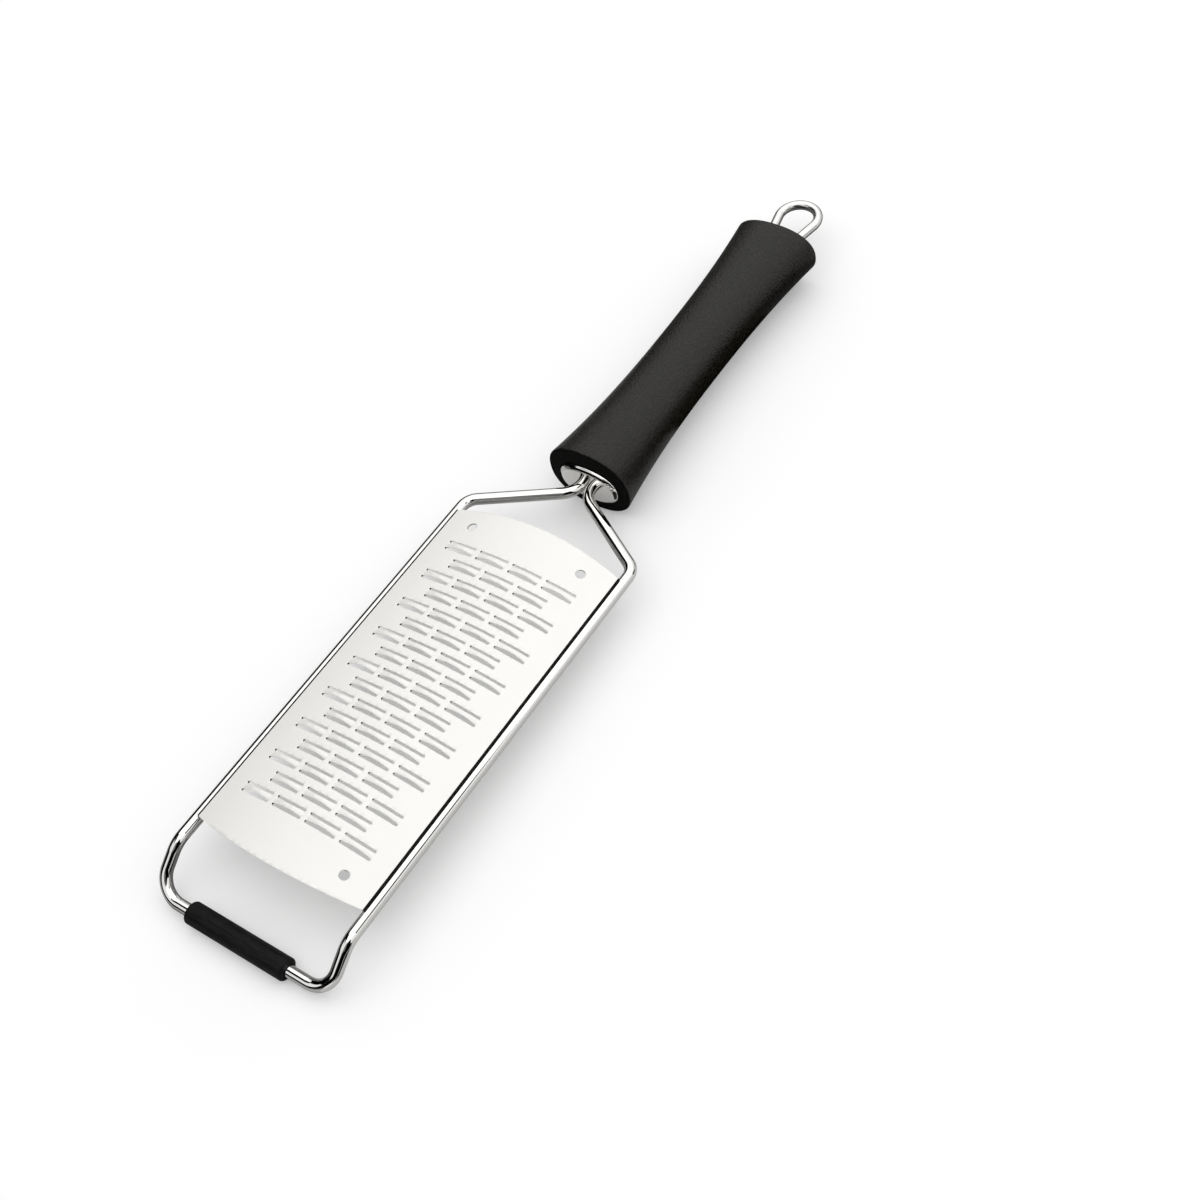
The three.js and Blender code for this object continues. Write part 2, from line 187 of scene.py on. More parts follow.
def show(tree, shader):
    """Sends a shader to the material's output."""
    add(tree, "ShaderNodeOutputMaterial", {"Surface": shader.outputs["BSDF"]})


def dress(piece, material, slot, *nodes):
    """Gives a piece its material, sets it on the one body, and lets it stand for its solids. The slot is not
    used.
    """
    piece.data.materials.append(material)
    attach(piece, "root")
    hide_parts(*nodes)


def polished_steel(name, colour, roughness):
    """Cold-drawn stainless steel, mechanically polished: a near mirror, with faint cloudy smears from the
    polishing mop and a slight waviness that makes the reflections run unevenly round the bends."""
    smear_mm, wave_mm, wave_depth_mm = 5.0, 9.0, 0.02
    smear_share = 0.3  # of the roughness, either way
    material, tree = finish_named(name)
    place = add(tree, "ShaderNodeTexCoord", {}).outputs["Object"]
    smear = add(tree, "ShaderNodeTexNoise", {"Vector": place, "Scale": 1 / (smear_mm * MM), "Detail": 4.0})
    wave = add(tree, "ShaderNodeTexNoise", {"Vector": place, "Scale": 1 / (wave_mm * MM), "Detail": 1.0})
    spread = add(
        tree,
        "ShaderNodeMapRange",
        {
            "Value": smear.outputs["Fac"],
            "To Min": roughness * (1 - smear_share),
            "To Max": roughness * (1 + smear_share),
        },
    )
    relief = add(
        tree,
        "ShaderNodeBump",
        {"Height": wave.outputs["Fac"], "Distance": wave_depth_mm * MM, "Strength": 1.0},
    )
    steel = add(
        tree,
        "ShaderNodeBsdfPrincipled",
        {
            "Base Color": linear(colour),
            "Metallic": 1.0,
            "Roughness": spread.outputs["Result"],
            "Normal": relief.outputs["Normal"],
        },
    )
    show(tree, steel)
    return material


right_side = [
    (NECK_HALF, GRIP_Y + ROD_HOLD, 0),
    (NECK_HALF, NECK_Y, 0),
    (FRAME_HALF, SHOULDER_Y, 0),
    (FRAME_HALF, LEG_Y, 0),
    (FRAME_HALF, FOOT_Y, -LEG_DROP),
]
left_side = [(-x, y, z) for x, y, z in reversed(right_side)]
side_bends = [NECK_BEND, SHOULDER_BEND, LEG_BEND, FOOT_BEND]
rod_corners = np.array(right_side + left_side)
rod_corners[4:6, 0] += FOOT_SHIFTS
rod_path = bent_path(rod_corners, side_bends + side_bends[::-1])
rod = skin("rod_frame", laid(tube(rod_path, ROD_RADIUS, ROD_SIDES)))
dress(rod, polished_steel("polished_rod_steel", ROD_STEEL, roughness=0.045), "polished_rod", "frame_rod")

# Blade: one sheet of thin stainless steel with a satin upper face; its underside is painted darker as shade,
# so that the floor beneath the blade lies in deeper shade. It is pierced and pressed in rows so that a narrow
# ribbon stands up between two slits, then arched across and welded along its long edges to the rod. Three
# corners have a round hole.
BLADE_HALF = 32.42
BLADE_SHIFT = 0.12  # the blade sits a little to one side on the rods
BLADE_HALF_LENGTH = 66.0  # at the corners
END_BULGE = 3.2
ARCH_RISE = 4.28
SHEET = 0.6
WELD_GAP = 0.04
ARCH_RADIUS = (BLADE_HALF**2 + ARCH_RISE**2) / (2 * ARCH_RISE)
ARCH_ANGLE = math.asin(BLADE_HALF / ARCH_RADIUS)
UNDER_RADIUS = ARCH_RADIUS - SHEET
SEAT_ACROSS = FRAME_HALF - UNDER_RADIUS * math.sin(ARCH_ANGLE)
SEAT_UP = math.sqrt((ROD_RADIUS + WELD_GAP) ** 2 - SEAT_ACROSS**2)
ARCH_CENTRE_Z = SEAT_UP - UNDER_RADIUS * math.cos(ARCH_ANGLE)
END_RADIUS = (BLADE_HALF**2 + END_BULGE**2) / (2 * END_BULGE)
TOOTH_ROWS = 17
ROW_PITCH = 6.44
HALF_COLUMN = 6.5  # rows are staggered by this much
TEETH_IN_WIDE_ROW = 4
SLIT_HALF = 5.6
SLIT_WIDTH = 0.9
RIBBON_HALF = 1.0  # at its two ends; the slits are wider between them, at its cost
RIBBON_WAIST = 0.3
RIBBON_RAISE = 0.68
RAMP = 4.1
HOLE_RADIUS = 1.6
HOLE_ACROSS = 21.7
HOLE_Y = 60.7
HOLES = ((-1, 1), (1, 1), (1, -1))  # which side, which end
EDGE_SOFT = 0.05
EDGE_SOFT_ANGLE = math.radians(50)  # edges sharper than this are softened
SLIT_END_SHADE = 0.2  # length of painted shade along a slit from its left end
HOLE_RIM_SHADE = 0.6  # share of the slits' painted shade that goes round the holes
HOLE_RIM = 1.001  # in hole radii, with room for rounding
LEFT_SHADE_LINE, RIGHT_SHADE_LINE = 0.75, 0.55  # widths of the near black lines of painted shade along the long edges, where the blade meets the rods
BLADE_STEEL = "#f0efec"
CUT_STEEL = "#f4f3f0"
# The colour of the painted shade at the slits' left ends and round the holes.
END_SHADE_STEEL = "#2c2b29"
# Near black painted shade for the lines along the long edges, where the blade meets the rods.
EDGE_SHADE_STEEL = "#0a0a09"
# Darker than the upper face: painted shade, so that less light reaches the floor beneath the blade.
UNDERSIDE_SHADE_STEEL = "#a8a7a4"
EDGE_SLOT, EDGE_SHADE_SLOT, UNDER_SLOT = 1, 2, 4  # in the blade's list of materials
MARGIN_LINES, HOLE_LINES, END_LINES = 7, 13, 5  # grid lines beside the teeth, over a hole and at each end
SAME_LINE = 1e-4  # grid lines closer than this are one

# Grid lines across, measured along the arch, fall on the ends of the slits and ramps of all the columns, and
# on the inner edges of the lines of painted shade along the long edges.
cell = np.array([0, 0.45, 0.9, 1.03, 1.2, 1.35, 1.5, 1.8, 2.2, 2.725, 3.25])
columns = np.arange(-4, 5) * HALF_COLUMN
arch_half = ARCH_RADIUS * ARCH_ANGLE
toothed = (columns[:, None] + np.concatenate([-cell, cell])).ravel()
inner = toothed[np.abs(toothed) < columns[-1]]
right = np.append(np.linspace(columns[-1], arch_half - RIGHT_SHADE_LINE, MARGIN_LINES), arch_half)
left = -np.append(np.linspace(columns[-1], arch_half - LEFT_SHADE_LINE, MARGIN_LINES), arch_half)
across = np.unique(np.round(np.concatenate([left, inner, right]), 6))

# Grid lines along fall on the edges of the slits and ribbons, and spread over the two bare ends.
row_middles = (np.arange(TOOTH_ROWS) - (TOOTH_ROWS - 1) / 2) * ROW_PITCH
slit_edge = RIBBON_HALF + SLIT_WIDTH
row_lines = np.array([-slit_edge, -RIBBON_HALF, 0, RIBBON_HALF, slit_edge, ROW_PITCH / 2])
last_row_end = row_middles[-1] + ROW_PITCH / 2
end_start = HOLE_Y + 2 * HOLE_RADIUS
around_hole = HOLE_Y + np.linspace(-2, 2, HOLE_LINES) * HOLE_RADIUS
strip = np.linspace(end_start, BLADE_HALF_LENGTH, END_LINES)
bare_end = np.concatenate([[last_row_end, (last_row_end + around_hole[0]) / 2], around_hole, strip[1:]])
along = np.concatenate([(row_middles[:, None] + row_lines).ravel(), bare_end, -bare_end])
along = np.unique(np.round(along, 6))


def tooth_offsets(s, y):
    """For each place on the sheet, how far it is from the nearest tooth of its row: across and along, with
    wide and narrow rows taking turns. Beyond the outermost teeth or rows the distance across is endless."""
    row = np.round(y / ROW_PITCH + (TOOTH_ROWS - 1) / 2)
    teeth = TEETH_IN_WIDE_ROW - row % 2
    half_run = teeth * HALF_COLUMN
    from_tooth = (s + half_run) % (2 * HALF_COLUMN) - HALF_COLUMN
    inside = (np.abs(s) < half_run) & (row >= 0) & (row < TOOTH_ROWS)
    return np.where(inside, from_tooth, np.inf), y - (row - (TOOTH_ROWS - 1) / 2) * ROW_PITCH


def hole_ring(s, y):
    """How far each place is from a round hole's middle, in hole radii measured square, and the shift that
    turns the squares near the hole into circles: full at the hole's rim, and none at twice its size."""
    nearest, shift = np.full(s.shape, np.inf), np.zeros((*s.shape, 2))
    for side, end in HOLES:
        offset = np.stack([s - side * HOLE_ACROSS, y - end * HOLE_Y], axis=-1) / HOLE_RADIUS
        square = np.abs(offset).max(-1)
        round_off = np.linalg.norm(offset, axis=-1)
        weight = np.clip(2 - square, 0, 1)
        circle = offset * (square / np.maximum(round_off, 1e-9) - 1)[..., None]
        shift += circle * weight[..., None] * HOLE_RADIUS
        nearest = np.minimum(nearest, square)
    return nearest, shift


def blade_points(s, y):
    """The sheet's upper face: places along the arch and along the blade are bent to the arch's radius;
    ribbons rise and narrow evenly over each ramp; slits end in a half round, where both their edges come in
    to their middle by the height of a circle; the last strips are stretched to the curved ends."""
    round_share = 0.95  # of the half round that the edges follow, so that they don't meet
    from_tooth, from_row = tooth_offsets(s, y)
    from_end = SLIT_HALF - np.abs(from_tooth)
    rise = np.clip(from_end / RAMP, 0, 1)
    on_edge = np.abs(np.abs(from_row) - RIBBON_HALF) < SAME_LINE
    raise_by = np.where((np.abs(from_row) < RIBBON_HALF) | on_edge, RIBBON_RAISE * rise, 0)
    slit_half = SLIT_WIDTH / 2
    to_circle = np.clip(slit_half - from_end, 0, round_share * slit_half)
    pinch = np.where(from_end > -SAME_LINE, slit_half - np.sqrt(slit_half**2 - to_circle**2), 0)
    outer_edge = np.abs(np.abs(from_row) - slit_edge) < SAME_LINE
    inward = np.where(outer_edge, pinch, np.where(on_edge, RIBBON_WAIST * rise - pinch, 0))
    drawn_in = -np.sign(from_row) * inward
    shift = hole_ring(s, y)[1]
    angle = (s + shift[..., 0]) / ARCH_RADIUS
    x = (ARCH_RADIUS + raise_by) * np.sin(angle)
    end = BLADE_HALF_LENGTH + END_BULGE - END_RADIUS + np.sqrt(END_RADIUS**2 - x**2)
    stretch = np.clip((np.abs(y) - end_start) / (BLADE_HALF_LENGTH - end_start), 0, 1)
    placed = y + drawn_in + shift[..., 1] + np.sign(y) * stretch * (end - BLADE_HALF_LENGTH)
    z = (ARCH_RADIUS + raise_by) * np.cos(angle) + ARCH_CENTRE_Z
    return np.stack([x + BLADE_SHIFT, placed, z], axis=-1)


def pierced_sheet(name):
    """The blade as one grid: the quads inside the slits and the round holes are left out, and those along the
    long edges take a near black material, painted shade where the blade meets the rods. Points at the left
    ends of the slits and round the holes are marked for painted shade."""
    s, y = np.meshgrid(across, along)
    middle_s, middle_y = np.meshgrid((across[1:] + across[:-1]) / 2, (along[1:] + along[:-1]) / 2)
    from_tooth, from_row = tooth_offsets(middle_s, middle_y)
    beside_ribbon = (np.abs(from_row) > RIBBON_HALF) & (np.abs(from_row) < slit_edge)
    slit = (np.abs(from_tooth) < SLIT_HALF) & beside_ribbon
    solid = ~slit & (hole_ring(middle_s, middle_y)[0] > 1)
    number = np.arange(s.size).reshape(s.shape)
    quads = np.stack([number[:-1, :-1], number[:-1, 1:], number[1:, 1:], number[1:, :-1]], axis=-1)[solid]
    used, quads = np.unique(quads, return_inverse=True)
    mesh = bpy.data.meshes.new(name)
    points = laid(blade_points(s, y)).reshape(-1, 3)[used]
    mesh.from_pydata(points.tolist(), [], quads.reshape(-1, 4).tolist())
    mesh.shade_smooth()
    # Quads along the long edges take the near black material: painted shade where the blade meets the rods.
    edge_shade = (middle_s > arch_half - RIGHT_SHADE_LINE) | (middle_s < LEFT_SHADE_LINE - arch_half)
    mesh.polygons.foreach_set("material_index", EDGE_SHADE_SLOT * edge_shade[solid].astype(np.int32))
    # Painted shade: fully at the left ends of the slits, and in part round the holes.
    at_slit_end = np.abs(tooth_offsets(s, y)[0] + SLIT_HALF) < SLIT_END_SHADE
    at_hole = hole_ring(s, y)[0] < HOLE_RIM
    shade_share = np.where(at_slit_end, 1.0, HOLE_RIM_SHADE * at_hole).astype(np.float32)
    painted_shade = mesh.attributes.new("painted_shade", "FLOAT", "POINT")
    painted_shade.data.foreach_set("value", shade_share.ravel()[used])
    made = bpy.data.objects.new(name, mesh)
    bpy.context.scene.collection.objects.link(made)
    return made


def satin_steel(name, colour, metallic, gloss, shaded_ends=False):
    """Stainless sheet with a satin finish, as it comes from fine belt grinding and blasting: no clear
    reflection, only broad light and shade, with a very fine even grain and faint clouds. With shaded ends,
    the colour goes over to a near black painted shade where the sheet's points are marked."""
    # The grit is near 0.05 mm. It is drawn three times as coarse, so that it shows.
    grain_mm, cloud_mm, grain_depth_mm = 0.15, 14.0, 0.0015
    least_rough, most_rough = 0.58, 0.68
    material, tree = finish_named(name)
    place = add(tree, "ShaderNodeTexCoord", {}).outputs["Object"]
    grain = add(tree, "ShaderNodeTexNoise", {"Vector": place, "Scale": 1 / (grain_mm * MM), "Detail": 2.0})
    cloud = add(tree, "ShaderNodeTexNoise", {"Vector": place, "Scale": 1 / (cloud_mm * MM), "Detail": 3.0})
    spread = add(
        tree,
        "ShaderNodeMapRange",
        {"Value": cloud.outputs["Fac"], "To Min": least_rough, "To Max": most_rough},
    )
    tint = linear(colour)
    # Painted shade: the colour goes over to near black where the sheet's points are marked.
    if shaded_ends:
        painted_shade = add(tree, "ShaderNodeAttribute", {}, attribute_name="painted_shade")
        tint = add(
            tree,
            "ShaderNodeMix",
            {"Factor": painted_shade.outputs["Fac"], "A": tint, "B": linear(END_SHADE_STEEL)},
            data_type="RGBA",
        ).outputs["Result"]
    relief = add(
        tree,
        "ShaderNodeBump",
        {"Height": grain.outputs["Fac"], "Distance": grain_depth_mm * MM, "Strength": 1.0},
    )
    steel = add(
        tree,
        "ShaderNodeBsdfPrincipled",
        {
            "Base Color": tint,
            "Metallic": metallic,
            "Roughness": spread.outputs["Result"],
            "Specular IOR Level": gloss,
            "Normal": relief.outputs["Normal"],
        },
    )
    show(tree, steel)
    return material


blade = pierced_sheet("toothed_blade")
wall = blade.modifiers.new("wall", "SOLIDIFY")
wall.thickness = SHEET * MM
wall.offset = -1
wall.use_even_offset = True
wall.material_offset = UNDER_SLOT
wall.material_offset_rim = EDGE_SLOT
soft_edges = blade.modifiers.new("soft_edges", "BEVEL")
soft_edges.width = EDGE_SOFT * MM
soft_edges.segments = 1
soft_edges.limit_method = "ANGLE"
soft_edges.angle_limit = EDGE_SOFT_ANGLE
flat_faces = blade.modifiers.new("flat_faces", "WEIGHTED_NORMAL")
flat_faces.keep_sharp = True
upper_face = satin_steel("satin_sheet_steel", BLADE_STEEL, metallic=0.4, gloss=0.5)
# The cut edges take painted shade at the slits' left ends and round the holes.
cut_edge = satin_steel("cut_sheet_edge", CUT_STEEL, metallic=0.0, gloss=0.5, shaded_ends=True)
# Near black painted shade along the long edges, where the blade meets the rods.
painted_edge_shade = satin_steel("painted_edge_shade", EDGE_SHADE_STEEL, metallic=0.0, gloss=0.1)
# The underside is darker: painted shade, which deepens the shade on the floor beneath the blade.
darkened_underside = satin_steel("shade_darkened_underside", UNDERSIDE_SHADE_STEEL, metallic=0.4, gloss=0.5)
dress(blade, upper_face, "satin_blade_steel", "blade")
# The near black painted shade comes twice: the edge of the sheet beside a shaded line takes the slot after
# that line's.
for finish in (cut_edge, painted_edge_shade, painted_edge_shade, darkened_underside):
    blade.data.materials.append(finish)

# Foot sleeve: a short length of black rubber tube with soft ends, pushed over the foot bar before the rod was
# bent. It keeps the grater from slipping. The bar runs along its middle, so its shape is a profile turned
# round the bar.
SLEEVE_RADIUS = 3.65
SLEEVE_BORE = 2.05
SLEEVE_HALF = 19.0
SLEEVE_SHIFT = -2.0
SLEEVE_EDGE = 0.7
SLEEVE_LIP = 0.2  # width of the ring of faces round the bore, which keeps the end flat
SLEEVE_SIDES = 64
EDGE_STEPS = 7  # round an edge
SLEEVE_RUBBER = "#0a0a0a"


def soft_black(name, colour, grain_mm, grain_depth_mm, roughness, gloss, drawn_out=1.0):
    """Black rubber or plastic moulded in a blasted tool: matte, with a fine pebbled grain and a slightly
    uneven gloss; the colour is painted darker in the grain's hollows and paler on its crests, painted shade
    and painted highlight that follow the bump. Rubber that is drawn out along X, as an extruded tube is, has
    its grain stretched that many times."""
    # Such a grain is near 0.3 mm. It is drawn about twice as coarse, so that it shows.
    cloud_mm, cloud_rough = 7.0, 0.08
    hollow, crest = 0.35, 0.65  # heights of the grain, as the noise gives them
    hollow_shade, crest_highlight = 0.1, 1.9  # times the colour: painted shade in the hollows, painted highlight on the crests
    material, tree = finish_named(name)
    place = add(tree, "ShaderNodeTexCoord", {}).outputs["Object"]
    stretch = {"Vector": place, "Scale": (1 / drawn_out, 1, 1)}
    place = add(tree, "ShaderNodeMapping", stretch).outputs["Vector"]
    grain = add(tree, "ShaderNodeTexNoise", {"Vector": place, "Scale": 1 / (grain_mm * MM), "Detail": 3.0})
    cloud = add(tree, "ShaderNodeTexNoise", {"Vector": place, "Scale": 1 / (cloud_mm * MM), "Detail": 4.0})
    height = add(
        tree,
        "ShaderNodeMapRange",
        {"Value": grain.outputs["Fac"], "From Min": hollow, "From Max": crest},
    )
    # Painted shade in the grain's hollows and a painted highlight on its crests.
    tint = add(
        tree,
        "ShaderNodeMix",
        {
            "Factor": height.outputs["Result"],
            "A": [hollow_shade * share for share in linear(colour)[:3]] + [1.0],
            "B": [crest_highlight * share for share in linear(colour)[:3]] + [1.0],
        },
        data_type="RGBA",
    )
    spread = add(
        tree,
        "ShaderNodeMapRange",
        {
            "Value": cloud.outputs["Fac"],
            "To Min": roughness - cloud_rough,
            "To Max": roughness + cloud_rough,
        },
    )
    relief = add(
        tree,
        "ShaderNodeBump",
        {"Height": grain.outputs["Fac"], "Distance": grain_depth_mm * MM, "Strength": 1.0},
    )
    rubber = add(
        tree,
        "ShaderNodeBsdfPrincipled",
        {
            "Base Color": tint.outputs["Result"],
            "Roughness": spread.outputs["Result"],
            "Specular IOR Level": gloss,
            "Normal": relief.outputs["Normal"],
        },
    )
    show(tree, rubber)
    return material


quarter = np.linspace(0, np.pi / 2, EDGE_STEPS)
end_x = SLEEVE_HALF - SLEEVE_EDGE + SLEEVE_EDGE * np.sin(quarter)
end_r = SLEEVE_RADIUS - SLEEVE_EDGE + SLEEVE_EDGE * np.cos(quarter)
end_x = np.append(end_x, [SLEEVE_HALF] * 2)
end_r = np.append(end_r, [SLEEVE_BORE + SLEEVE_LIP, SLEEVE_BORE])
profile_x = np.concatenate([-end_x[::-1], end_x])
profile_r = np.concatenate([end_r[::-1], end_r])
turn = np.linspace(0, 2 * np.pi, SLEEVE_SIDES, endpoint=False)
sleeve_points = np.stack(
    [
        np.broadcast_to(profile_x[:, None] + SLEEVE_SHIFT, (len(profile_x), SLEEVE_SIDES)),
        FOOT_Y + profile_r[:, None] * np.cos(turn),
        profile_r[:, None] * np.sin(turn) - LEG_DROP,
    ],
    axis=-1,
)
sleeve = skin("foot_bar_sleeve", laid(sleeve_points)[::-1], closed=(True, True), ends=False)
sleeve_rubber = soft_black(
    "sleeve_rubber",
    SLEEVE_RUBBER,
    grain_mm=0.6,
    grain_depth_mm=0.25,
    roughness=0.5,
    gloss=0.15,
    drawn_out=6.0,
)
dress(sleeve, sleeve_rubber, "sleeve_rubber", "foot_sleeve")

# Handle core: the plastic filler inside the grip that the rod's ends and the loop's legs are moulded into.
# It is out of sight behind the front cap, so the solid itself stays, with a plain moulded finish.
CORE_PLASTIC = "#3a3a3a"

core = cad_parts["handle_core"]
core_plastic = soft_black(
    "core_plastic", CORE_PLASTIC, grain_mm=1.2, grain_depth_mm=0.02, roughness=0.55, gloss=0.4
)
core.data.materials.clear()
core.data.materials.append(core_plastic)

# Grip: a waisted oval of soft black rubber, moulded over the core, thickest at the front and widest at the
# rear. Its front face is flat, duller, and painted darker as shade, with a small round along the rim; the cap
# is set into its mouth.
GRIP_LENGTH = 124.2
GRIP_LIFT = 1.1
GRIP_RISE = math.radians(0.72)
GRIP_FRONT = np.array([32.0, 26.2])
GRIP_WAIST = np.array([25.2, 18.3])
GRIP_REAR = np.array([32.4, 20.3])
GRIP_FLARE = 2.35
GRIP_WALL = 3.9
GRIP_FRONT_EDGE = 0.8
GRIP_REAR_EDGE = 1.1
MOUTH_EDGE = 0.3
CAP_SIZE = np.array([22.9, 14.8])
CAP_DROP = 1.2  # of the mouth and the cap below the grip's axis
CAP_GAP = 0.3
OVAL_POWER = 2.3
OVAL_SIDES = 112
CAVITY_RINGS, SIDE_RINGS = 40, 90
LIP_STEPS = 5  # round the edge of the mouth
FACE_LOOP = 0.15  # width of the rings that keep the front face flat beside its two edges
REAR_RINGS = (0.97, 0.6, 0.2)  # shares of the flat rear face
GRIP_RUBBER = "#14120e"
# Darker than the grip's rubber: painted shade on the front face, which also has a duller finish.
GRIP_FACE_SHADE_RUBBER = "#080807"


def on_handle(points):
    """Points of the handle, counted from the middle of the grip's front face, in the assembly: raised towards
    the rear by a small angle, lifted above the rods and moved back to where the grip begins."""
    x, y, z = np.moveaxis(np.asarray(points, float), -1, 0)
    cosine, sine = math.cos(GRIP_RISE), math.sin(GRIP_RISE)
    return np.stack([x, y * cosine - z * sine + GRIP_Y, y * sine + z * cosine + GRIP_LIFT], axis=-1)


def waisted(y, front, waist, rear):
    """Half sizes of a waisted body at a distance behind the grip's front face: the waist's size in the
    middle, going over to the end sizes by a power of the distance from the waist."""
    from_waist = 2 * np.clip(y, 0, None)[:, None] / GRIP_LENGTH - 1
    end = np.where(from_waist < 0, front, rear)
    return (waist + (end - waist) * np.abs(from_waist) ** GRIP_FLARE) / 2


def ovals(y, halves, drop):
    """Rings of a superellipse, each lowered by its drop: cosine and sine of the angle round, each raised to
    two over the oval's power."""
    angle = np.linspace(0, 2 * np.pi, OVAL_SIDES, endpoint=False)
    circle = np.stack([np.cos(angle), np.sin(angle)])
    bowed = np.sign(circle) * np.abs(circle) ** (2 / OVAL_POWER)
    x, z = halves[:, :1] * bowed[0], halves[:, 1:] * bowed[1] - np.broadcast_to(drop, y.shape)[:, None]
    return np.stack([x, np.broadcast_to(y[:, None], x.shape), z], axis=-1)


def rounded(face_y, way, radius, halves_at, steps=EDGE_STEPS):
    """Places and half sizes over a rounded edge, a quarter of a circle from the flat end face to the side."""
    angle = np.linspace(0, np.pi / 2, steps)
    y = face_y + way * radius * (1 - np.cos(angle))
    return y, halves_at(y) - radius * (1 - np.sin(angle))[:, None]


def outside(y):
    """Half sizes of the grip itself."""
    return waisted(y, GRIP_FRONT, GRIP_WAIST, GRIP_REAR)


def filling(y):
    """Half sizes of what the grip holds: the cap's at the front, and behind it the grip's less its wall."""
    return waisted(y, CAP_SIZE, GRIP_WAIST - 2 * GRIP_WALL, GRIP_REAR - 2 * GRIP_WALL)


def mouth(y):
    """Half sizes of the cavity, which clears the filling by half the gap all round."""
    return filling(y) + CAP_GAP / 2


cavity_y = np.linspace(GRIP_LENGTH - GRIP_WALL + CAP_GAP, MOUTH_EDGE, CAVITY_RINGS)
lip_angle = np.linspace(0, np.pi / 2, LIP_STEPS)[1:]
lip_y = MOUTH_EDGE * (1 - np.sin(lip_angle))
lip_halves = mouth(lip_y) + MOUTH_EDGE * (1 - np.cos(lip_angle))[:, None]
front_y, front_halves = rounded(0.0, 1, GRIP_FRONT_EDGE, outside)
side_y = np.linspace(GRIP_FRONT_EDGE, GRIP_LENGTH - GRIP_REAR_EDGE, SIDE_RINGS)[1:-1]
rear_y, rear_halves = rounded(GRIP_LENGTH, -1, GRIP_REAR_EDGE, outside)
face_inner = lip_halves[-1:] + FACE_LOOP
face_outer = front_halves[:1] - FACE_LOOP
back_inner = rear_halves[:1] * np.array(REAR_RINGS)[:, None]
back_y = np.full(len(REAR_RINGS), GRIP_LENGTH)
grip_y = np.concatenate([cavity_y, lip_y, [0, 0], front_y, side_y, rear_y[::-1], back_y])
grip_halves = np.concatenate(
    [
        mouth(cavity_y),
        lip_halves,
        face_inner,
        face_outer,
        front_halves,
        outside(side_y),
        rear_halves[::-1],
        back_inner,
    ]
)
in_mouth = np.arange(len(grip_y)) < len(cavity_y) + len(lip_y) + 1
grip = skin("soft_grip", laid(on_handle(ovals(grip_y, grip_halves, CAP_DROP * in_mouth))))
grip_rubber = soft_black(
    "grip_rubber", GRIP_RUBBER, grain_mm=0.7, grain_depth_mm=0.25, roughness=0.28, gloss=0.25
)
dull_shaded_face_rubber = soft_black(
    "dull_shaded_face_rubber", GRIP_FACE_SHADE_RUBBER, grain_mm=0.7, grain_depth_mm=0.02, roughness=0.7, gloss=0.05
)
dress(grip, grip_rubber, "grip_rubber", "handle_grip")
grip.data.materials.append(dull_shaded_face_rubber)
# The duller rubber, painted darker as shade, covers the rings from the cavity to half way round the front
# edge.
dull_shaded_ring = np.arange(len(grip_y) - 1) < len(cavity_y) + len(lip_y) + 2 + len(front_y) // 2
face_finish = np.zeros(len(grip.data.polygons), np.int32)
face_finish[: (len(grip_y) - 1) * OVAL_SIDES] = np.repeat(dull_shaded_ring, OVAL_SIDES)
grip.data.polygons.foreach_set("material_index", face_finish)

# Front cap: a plate of polished stainless steel pressed into the grip's mouth, with a broadly rounded rim
# that stands a little proud and a narrow bevel inside it. The two ends of the rod run through it side by
# side.
CAP_DEPTH = 4.0
CAP_PROUD = 1.3
CAP_EDGE = 1.0
CAP_BEVEL = 0.55  # width of the bevel between the face and the round of the rim
CAP_BEVEL_ANGLE = math.radians(34)
CAP_RIM_STEPS = 31
CAP_FACE_RINGS = (0.3, 0.7, 0.94, 0.985)  # shares of the flat face
CAP_SIDE_Y = 0.6  # of the first ring behind the rim
CAP_BACK_EDGE = 0.2
CAP_BACK_RING = 2.0  # from the side
CAP_STEEL = "#f0efec"

rim_y, rim_halves = rounded(-CAP_PROUD, 1, CAP_EDGE, filling, CAP_RIM_STEPS)
inside_bevel = np.linspace(0, np.pi / 2, CAP_RIM_STEPS) < CAP_BEVEL_ANGLE
rim_y = rim_y + np.where(inside_bevel, 0, CAP_BEVEL * math.tan(CAP_BEVEL_ANGLE))
rim_halves = rim_halves - np.where(inside_bevel, CAP_BEVEL, 0)[:, None]
face = rim_halves[:1] * np.array(CAP_FACE_RINGS)[:, None]
depth_y = np.array([CAP_SIDE_Y, CAP_DEPTH - CAP_BACK_EDGE])
back = filling(np.array([CAP_DEPTH])) - np.array([[CAP_BACK_EDGE], [CAP_BACK_RING]])
cap_y = np.concatenate([np.full(len(face), -CAP_PROUD), rim_y, depth_y, np.full(len(back), CAP_DEPTH)])
cap_halves = np.concatenate([face, rim_halves, filling(depth_y), back])
cap = skin("polished_cap", laid(on_handle(ovals(cap_y, cap_halves, CAP_DROP))))
dress(cap, polished_steel("polished_cap_steel", CAP_STEEL, roughness=0.06), "polished_cap", "front_cap")

# Hanging loop: a polished steel wire bent to an open ring. Its two legs run close together into the grip's
# rear wall and are moulded into the core.
WIRE_RADIUS = 1.7
WIRE_SIDES = 32
LOOP_RADIUS = 7.25
LOOP_REACH = 14.75
LOOP_LEG_HALF = 4.7
LOOP_LEG = 1.5
LOOP_LEG_BEND = 4.0
LOOP_HOLD = 14.0
LOOP_STEEL = "#d9d8d5"

